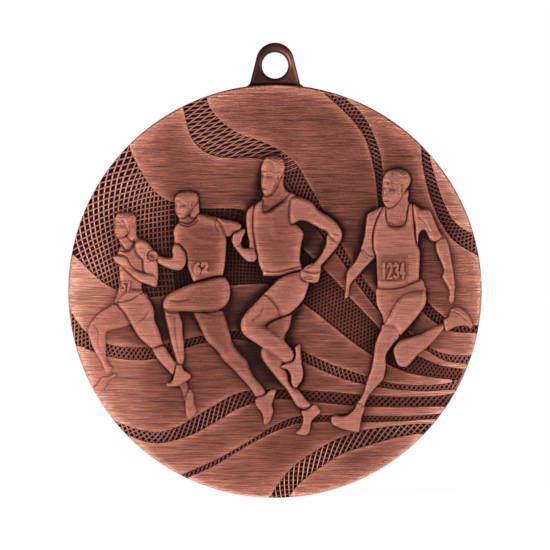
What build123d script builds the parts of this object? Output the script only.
from build123d import *
from math import acos, atan2, cos, hypot, sin
import os

# Sports finisher medal: a round disc with running figures in relief, and a lug brazed to its top edge.
# Millimetres. +Z up, the face looks towards -Y. The origin is the centre of the ribbon hole,
# halfway through the lug. Relief outlines are (x, z) from the centre of the disc.

# Disc
disc_radius = 25.0
hole_above_disc_centre = 27.35
back_y = 1.3
panel_y = -1.3
panel_height = 0.45
back_edge_radius = 0.3
border_groove_radius = 23.4
border_groove_width = 0.6
border_groove_depth = 0.2

# Suspension lug
lug_thickness = 1.6
hole_radius = 1.6
lug_crown_radius = 2.3
lug_crown_above_hole = 0.45
lug_foot_half_width = 3.0
lug_foot_height = 24.9
braze_thickness = 1.4
braze_reach = 0.9
braze_climb = 0.7

# Relief heights above the floor of the pockets
mesh_height = 0.2
far_height = panel_height + 0.25
body_height = panel_height + 0.5
near_height = panel_height + 0.75
bib_thickness = 0.15
smallest_mesh_area = 0.05

floor_y = panel_y + panel_height
disc_centre_z = -hole_above_disc_centre


def facing_plane(y):
    """Sketch plane across the medal at depth y, looking out of its face, centred on the disc."""
    return Plane(origin=(0, y, disc_centre_z), x_dir=(1, 0, 0), z_dir=(0, -1, 0))


def raised(shape, bottom, top):
    """Solid of a flat shape between two heights above the pocket floor."""
    return extrude(facing_plane(floor_y - bottom) * shape, amount=top - bottom)


def ribbon(upper, lower):
    """Band between two smooth edges that both run from left to right."""
    edges = [
        Spline(*upper),
        Line(upper[-1], lower[-1]),
        Spline(*lower),
        Line(lower[0], upper[0]),
    ]
    return make_face(edges)


def smooth(*points):
    """Closed smooth outline through the points."""
    return make_face(Spline(*points, periodic=True))


def straight(*points):
    """Closed outline with straight sides."""
    return make_face(Polyline(*points, close=True))


def ellipse(x, z, half_width, half_height):
    return Pos(x, z) * Ellipse(half_width, half_height)


def bone(start, end):
    """Two round joints and the flesh between them. A joint is (x, z, radius)."""
    x1, z1, r1 = start
    x2, z2, r2 = end
    direction = atan2(z2 - z1, x2 - x1)
    spread = acos((r1 - r2) / hypot(x2 - x1, z2 - z1))
    left, right = direction + spread, direction - spread
    sides = straight(
        (x1 + r1 * cos(left), z1 + r1 * sin(left)),
        (x2 + r2 * cos(left), z2 + r2 * sin(left)),
        (x2 + r2 * cos(right), z2 + r2 * sin(right)),
        (x1 + r1 * cos(right), z1 + r1 * sin(right)),
    )
    return sides + Pos(x1, z1) * Circle(r1) + Pos(x2, z2) * Circle(r2)


def limb(*joints):
    """Chain of bones through the joints."""
    shape = bone(joints[0], joints[1])
    for start, end in zip(joints[1:], joints[2:]):
        shape += bone(start, end)
    return shape


def merged(shapes):
    whole = shapes[0]
    for shape in shapes[1:]:
        whole += shape
    return whole


# Mesh bands. Each runs right across the disc, behind the figures, past the rim at both ends.
bands = {
    "mesh_broad_sweep": ribbon(
        [(-18.4, 19.4), (-17.5, 17.2), (-16.5, 15.0), (-15.0, 12.7), (-13.0, 11.0), (-9.0, 10.05),
         (-4.2, 9.9), (0.0, 8.2), (3.1, 5.4), (5.5, 3.1), (7.6, 1.0), (9.2, -0.9), (12.3, -4.1),
         (14.5, -6.6), (17.3, -7.8), (20.0, -8.93), (23.0, -9.4), (25.5, -9.5)],
        [(-25.6, 5.5), (-24.0, 4.1), (-22.0, 2.1), (-20.0, 0.6), (-17.0, -0.4), (-14.5, -0.65),
         (-12.0, -0.2), (-8.0, 0.4), (-4.0, 0.8), (-1.0, 0.9), (1.5, 0.0), (3.6, -1.6), (6.0, -3.4),
         (10.0, -6.6), (13.46, -8.7), (15.96, -9.8), (19.0, -10.4), (21.8, -10.75), (23.6, -11.3)],
    ),
    "mesh_crest_sweep": ribbon(
        [(-8.4, 25.4), (-8.1, 22.8), (-7.0, 21.1), (-5.3, 19.6), (-3.5, 18.7), (-1.5, 18.1), (0.8, 16.9),
         (2.5, 15.5), (3.8, 13.4), (5.9, 9.7), (7.9, 5.9), (9.4, 3.4), (11.9, 0.0), (14.2, -2.8),
         (16.4, -5.2), (18.56, -6.7), (20.5, -7.54), (23.0, -7.75), (25.8, -7.6)],
        [(-11.3, 24.6), (-10.95, 21.5), (-10.1, 18.6), (-8.8, 17.1), (-7.0, 16.3), (-5.0, 16.1),
         (-1.6, 16.0), (0.6, 14.4), (3.0, 10.6), (5.0, 7.6), (7.0, 5.0), (8.6, 2.9), (10.6, 0.0),
         (12.9, -2.8), (15.5, -5.4), (18.2, -7.06), (20.0, -8.16), (22.0, -8.64), (25.5, -8.9)],
    ),
    "mesh_right_arc": ribbon(
        [(7.2, 24.4), (8.7, 23.1), (10.0, 22.0), (11.2, 20.4), (12.2, 18.2), (12.85, 16.0), (13.1, 13.5),
         (13.6, 10.0), (15.0, 5.0), (16.6, 1.2), (18.2, -1.0), (20.2, -2.9), (22.0, -3.9), (25.6, -4.2)],
        [(5.0, 24.7), (7.0, 23.0), (9.0, 21.1), (10.7, 18.9), (11.7, 16.0), (12.25, 13.0), (12.6, 10.0),
         (13.5, 5.5), (15.4, 1.0), (18.0, -2.6), (19.5, -3.9), (21.3, -4.8), (23.2, -5.0), (25.6, -5.0)],
    ),
    "mesh_rim_crescent": ribbon(
        [(17.95, 18.2), (18.7, 16.1), (19.4, 13.7), (20.3, 11.0), (21.5, 8.7), (23.0, 7.4), (25.0, 6.6)],
        [(17.6, 18.4), (17.75, 16.0), (18.2, 13.5), (19.0, 10.7), (20.2, 8.0), (22.0, 5.8), (25.4, 3.9)],
    ),
    "mesh_knee_band": ribbon(
        [(-25.6, -0.9), (-24.2, -3.2), (-22.8, -4.9), (-20.3, -6.35), (-17.0, -6.8), (-14.0, -6.5),
         (-11.0, -5.85), (-8.4, -5.3), (-5.3, -4.8), (-3.0, -4.85), (0.0, -5.7), (3.3, -7.2), (6.0, -8.5),
         (9.0, -9.6), (13.08, -10.9), (17.0, -11.34), (20.0, -11.25), (21.85, -10.85), (23.6, -10.2)],
        [(-25.6, -6.2), (-23.9, -6.5), (-21.9, -7.3), (-20.3, -7.85), (-17.0, -8.3), (-14.4, -8.1),
         (-10.9, -6.9), (-8.1, -6.1), (-5.0, -5.8), (-3.4, -6.0), (0.0, -6.9), (3.2, -8.4), (6.0, -9.7),
         (9.0, -10.8), (13.1, -11.67), (17.7, -12.06), (20.0, -11.96), (24.0, -11.7)],
    ),
    "mesh_foot_band": ribbon(
        [(-19.9, -15.4), (-18.0, -16.2), (-16.0, -16.8), (-14.0, -17.0), (-12.0, -16.5), (-10.0, -15.4),
         (-7.0, -13.6), (-5.0, -12.5), (-3.0, -12.0), (0.0, -11.85), (5.0, -12.05), (10.4, -12.5),
         (15.0, -12.75), (20.0, -12.6), (23.0, -11.9)],
        [(-19.4, -16.0), (-17.4, -17.5), (-15.0, -18.3), (-13.0, -18.2), (-10.0, -17.3), (-7.0, -15.7),
         (-4.0, -14.0), (0.0, -13.05), (4.2, -13.3), (8.0, -13.7), (11.06, -13.93), (16.0, -13.95),
         (22.5, -13.9)],
    ),
    "mesh_low_band": ribbon(
        [(-12.2, -22.5), (-11.0, -22.05), (-7.0, -20.3), (-3.0, -18.0), (0.0, -16.2), (3.0, -15.1),
         (6.9, -15.0), (11.06, -15.04), (17.0, -15.04), (21.6, -14.6)],
        [(-11.6, -22.9), (-9.0, -21.85), (-7.0, -20.9), (-3.0, -18.5), (0.0, -16.95), (3.0, -15.9),
         (6.0, -15.75), (9.0, -15.85), (15.0, -15.7), (21.2, -15.3)],
    ),
    "mesh_bottom_ribbon": ribbon(
        [(-1.3, -26.0), (0.3, -23.4), (2.0, -21.4), (4.0, -19.9), (7.0, -18.1), (10.0, -16.95),
         (13.0, -16.45), (17.0, -16.05), (20.6, -16.0)],
        [(1.0, -26.0), (1.7, -24.8), (3.0, -23.2), (5.0, -21.6), (8.0, -19.7), (11.0, -18.7),
         (15.0, -17.6), (18.46, -17.06), (20.2, -16.6)],
    ),
}

# Runners. Each is a list of body parts with their height above the pocket floor.
runners = {
    "runner_far_left": [
        (body_height, ellipse(-18.2, 8.0, 1.4, 1.55)),
        (body_height, limb((-18.0, 6.8, 0.8), (-17.4, 5.4, 1.1))),
        (body_height, straight((-18.6, 5.5), (-18.9, 4.4), (-18.85, 1.0), (-19.1, -1.2), (-16.0, -0.8),
                               (-15.6, 2.2), (-15.3, 5.3), (-16.3, 6.2))),
        (near_height, limb((-15.9, 5.3, 0.95), (-14.95, 1.55, 0.8), (-18.4, 3.9, 0.5))),
        (near_height, Pos(-19.15, 4.0) * Circle(0.45)),
        (near_height, limb((-17.3, -0.6, 1.65), (-14.9, -5.6, 1.2), (-14.3, -6.7, 0.8), (-12.4, -9.4, 0.5))),
        (near_height, straight((-12.5, -10.5), (-11.8, -9.0), (-11.3, -9.0), (-10.9, -9.7), (-10.2, -10.0),
                               (-10.2, -10.6), (-11.5, -11.3), (-13.1, -11.45), (-13.1, -11.1))),
        (far_height, limb((-18.6, -3.1, 1.4), (-21.45, -4.5, 1.15), (-20.2, -9.9, 0.45))),
        (far_height, straight((-20.7, -10.2), (-19.3, -9.9), (-19.2, -10.2), (-20.0, -10.7),
                              (-20.7, -11.9), (-21.6, -11.8), (-21.6, -11.2))),
    ],
    "runner_left": [
        (body_height, ellipse(-10.75, 10.5, 1.6, 1.6)),
        (body_height, limb((-10.4, 9.6, 1.1), (-9.6, 8.0, 1.3))),
        (body_height, straight((-11.6, 8.5), (-12.15, 7.4), (-12.1, 5.5), (-10.8, 4.2), (-9.8, 1.05),
                               (-6.3, 1.85), (-6.05, 3.5), (-6.0, 6.6), (-6.6, 8.7), (-9.0, 9.2))),
        (body_height, limb((-7.4, 7.8, 1.0), (-4.9, 7.75, 0.6))),
        (near_height, limb((-11.4, 4.9, 0.9), (-11.6, 3.6, 0.9), (-14.2, 3.9, 0.45))),
        (near_height, Pos(-14.8, 4.3) * Circle(0.65)),
        (near_height, limb((-7.5, -0.35, 2.0), (-12.45, -1.5, 1.05), (-11.5, -8.3, 0.45))),
        (far_height, limb((-11.5, -8.3, 0.45), (-10.5, -13.0, 0.5))),
        (far_height, straight((-10.9, -13.2), (-10.7, -15.1), (-10.3, -15.4), (-9.6, -15.0),
                              (-9.45, -14.3), (-9.8, -13.5), (-10.0, -12.2), (-10.6, -12.2))),
        (far_height, limb((-7.6, -2.4, 1.6), (-5.9, -7.1, 1.15), (-1.7, -12.6, 0.5))),
        (far_height, straight((-2.4, -12.8), (-2.2, -13.9), (-1.6, -14.6), (-1.3, -16.0), (-0.9, -16.0),
                              (-0.2, -14.5), (-0.1, -12.8), (0.1, -11.9), (-0.8, -12.0))),
    ],
    "runner_centre": [
        (body_height, ellipse(-0.3, 14.1, 1.55, 2.25)),
        (body_height, limb((0.15, 12.4, 0.95), (0.4, 10.4, 1.5))),
        (body_height, straight((-2.5, 10.3), (-2.65, 7.5), (-2.2, 4.5), (-1.3, 1.8), (3.4, 2.4),
                               (3.1, 4.7), (3.5, 6.9), (3.4, 10.6), (2.2, 11.5), (0.0, 11.3))),
        (near_height, limb((-2.45, 9.2, 1.0), (-2.65, 4.6, 0.85), (-4.3, 6.1, 0.6), (-4.45, 6.6, 0.65))),
        (near_height, limb((3.3, 10.0, 1.3), (7.0, 7.2, 0.95), (4.7, 3.1, 0.7), (4.4, 1.9, 0.9))),
        (near_height, limb((1.5, 0.4, 2.5), (-2.7, -4.3, 1.4), (1.6, -7.8, 0.75))),
        (near_height, straight((2.4, -6.8), (3.1, -6.5), (3.2, -8.5), (3.4, -10.0), (2.95, -11.2),
                               (2.45, -11.7), (1.96, -11.2), (1.7, -9.7), (0.7, -9.0))),
        (body_height, limb((0.9, -1.6, 1.9), (-0.1, -6.4, 1.4), (3.6, -13.7, 0.6))),
        (body_height, straight((3.2, -14.4), (4.5, -13.4), (5.5, -14.6), (4.4, -15.8), (4.2, -16.9),
                               (3.7, -17.4), (2.5, -17.1), (3.2, -16.4))),
    ],
    "runner_right": [
        (body_height, ellipse(14.6, 12.4, 1.75, 2.35)),
        (body_height, limb((14.8, 10.6, 1.2), (14.9, 9.2, 1.6))),
        (body_height, straight((12.8, 10.0), (11.9, 7.6), (11.8, 4.9), (12.3, 2.5), (12.4, -0.9),
                               (17.6, -0.4), (17.4, 1.3), (17.5, 4.8), (17.1, 7.5), (16.9, 10.2))),
        (near_height, limb((12.1, 8.9, 1.1), (11.1, 4.7, 0.85), (9.1, 1.3, 0.55), (8.65, -0.6, 0.35))),
        (near_height, limb((17.5, 8.5, 1.4), (20.1, 5.9, 1.0), (21.05, 1.6, 0.65), (21.3, -1.0, 0.35))),
        (near_height, limb((15.7, -0.9, 2.3), (14.0, -4.7, 1.15), (12.7, -8.6, 0.95), (10.6, -13.4, 0.5))),
        (near_height, straight((9.9, -13.5), (9.0, -14.8), (7.0, -15.2), (6.7, -15.5), (7.0, -16.1),
                               (9.3, -16.9), (10.0, -17.0), (10.4, -15.3), (11.0, -13.6))),
        (far_height, limb((15.0, -4.9, 1.0), (15.5, -7.9, 1.15), (17.5, -6.7, 1.1), (20.3, -4.35, 0.4))),
        (far_height, straight((20.4, -3.6), (21.3, -2.2), (22.0, -1.9), (22.7, -2.2), (23.7, -3.2),
                              (23.95, -4.1), (23.7, -4.5), (22.1, -4.25), (20.7, -4.75))),
    ],
}

# Where two runners cross, the one in front keeps its outline and the other is cut back to it.
runners_behind = {
    "runner_centre": [],
    "runner_right": [],
    "runner_far_left": ["runner_left"],
    "runner_left": ["runner_centre"],
}

# Race bibs: the runner who wears it, then its centre, width, height and tilt in degrees.
bib_corner_radius = 0.2
bibs = {
    "race_bib_far_left": ("runner_far_left", -18.0, 0.6, 1.5, 1.3, 0.0),
    "race_bib_left": ("runner_left", -8.9, 2.85, 2.3, 1.5, 8.0),
    "race_bib_right": ("runner_right", 14.2, 2.7, 3.3, 3.2, 0.0),
}


def silhouette(name):
    """Whole outline of one runner."""
    return merged([shape for height, shape in runners[name]])


def runner_solid(name, covers):
    """Stack one slab for each height, so that the relief rises in steps towards the near limbs."""
    solid = None
    bottom = 0
    for top in (far_height, body_height, near_height):
        reaching = [shape for height, shape in runners[name] if height >= top]
        slab = merged(reaching)
        for cover in covers:
            slab -= cover
        step = raised(slab, bottom, top)
        solid = step if solid is None else solid + step
        bottom = top
    return solid


def disc_solid(pockets):
    """Plain disc with a rounded back edge and a border groove, pocketed for the relief."""
    back_plane = facing_plane(back_y)
    disc = extrude(back_plane * Circle(disc_radius), amount=back_y - panel_y)
    disc = fillet(disc.edges().filter_by(GeomType.CIRCLE).sort_by(Axis.Y)[-1], back_edge_radius)
    groove_outside = Circle(border_groove_radius + border_groove_width / 2)
    groove_inside = Circle(border_groove_radius - border_groove_width / 2)
    disc -= extrude(back_plane * (groove_outside - groove_inside), amount=border_groove_depth)
    return disc - raised(pockets, 0, panel_height)


def lug_shape():
    """Round crown on a tapered foot that is hollowed to the disc's rim, without its hole."""
    crown = (0, hole_above_disc_centre + lug_crown_above_hole, lug_crown_radius)
    spread = bone(crown, (0, lug_foot_height, lug_foot_half_width))
    below_foot = Pos(0, lug_foot_height - lug_foot_half_width) * Rectangle(
        4 * lug_foot_half_width, 2 * lug_foot_half_width
    )
    return spread - below_foot - Circle(disc_radius)


def lug_solid():
    shape = lug_shape() - Pos(0, hole_above_disc_centre) * Circle(hole_radius)
    return extrude(facing_plane(lug_thickness / 2) * shape, amount=lug_thickness)


def braze_solid():
    """Concave fillet of braze in the corner on each side of the lug's foot."""
    corners = None
    for side in (-1, 1):
        foot_x = side * (lug_foot_half_width - 0.3)
        end_x = side * (lug_foot_half_width + braze_reach)
        rim_z = (disc_radius**2 - end_x**2) ** 0.5
        top = (foot_x, rim_z + braze_climb + 0.5)
        end = (end_x, rim_z)
        inner = (foot_x, rim_z - 0.3)
        hollow = (foot_x + side * 0.55, rim_z + 0.5)
        shape = make_face([ThreePointArc(top, hollow, end), Line(end, inner), Line(inner, top)])
        shape = shape - lug_shape() - Circle(disc_radius)
        corner = extrude(facing_plane(braze_thickness / 2) * shape, amount=braze_thickness)
        corners = corner if corners is None else corners + corner
    return corners


os.makedirs("parts", exist_ok=True)

outlines = {name: silhouette(name) for name in runners}
face_circle = Circle(disc_radius)
nodes = {}

for name in runners:
    covers = [outlines[front] for front in runners_behind if name in runners_behind[front]]
    nodes[name] = runner_solid(name, covers)

for name, (wearer, x, z, width, height, tilt) in bibs.items():
    plate = Pos(x, z) * Rot(0, 0, tilt) * RectangleRounded(width, height, bib_corner_radius)
    for limb_height, near_limb in runners[wearer]:
        if limb_height == near_height:
            plate -= near_limb
    nodes[name] = raised(plate, body_height, body_height + bib_thickness)

figures = merged(list(outlines.values()))
filled = figures
for name, band in bands.items():
    visible = (band & face_circle) - filled
    pieces = [face for face in visible.faces() if face.area > smallest_mesh_area]
    nodes[name] = raised(merged([Sketch() + face for face in pieces]), 0, mesh_height)
    filled += band

nodes["medal_disc"] = disc_solid(filled & face_circle)
nodes["hanging_loop"] = lug_solid()
nodes["loop_braze"] = braze_solid()

for name, solid in nodes.items():
    export_step(solid, f"parts/{name}.step")
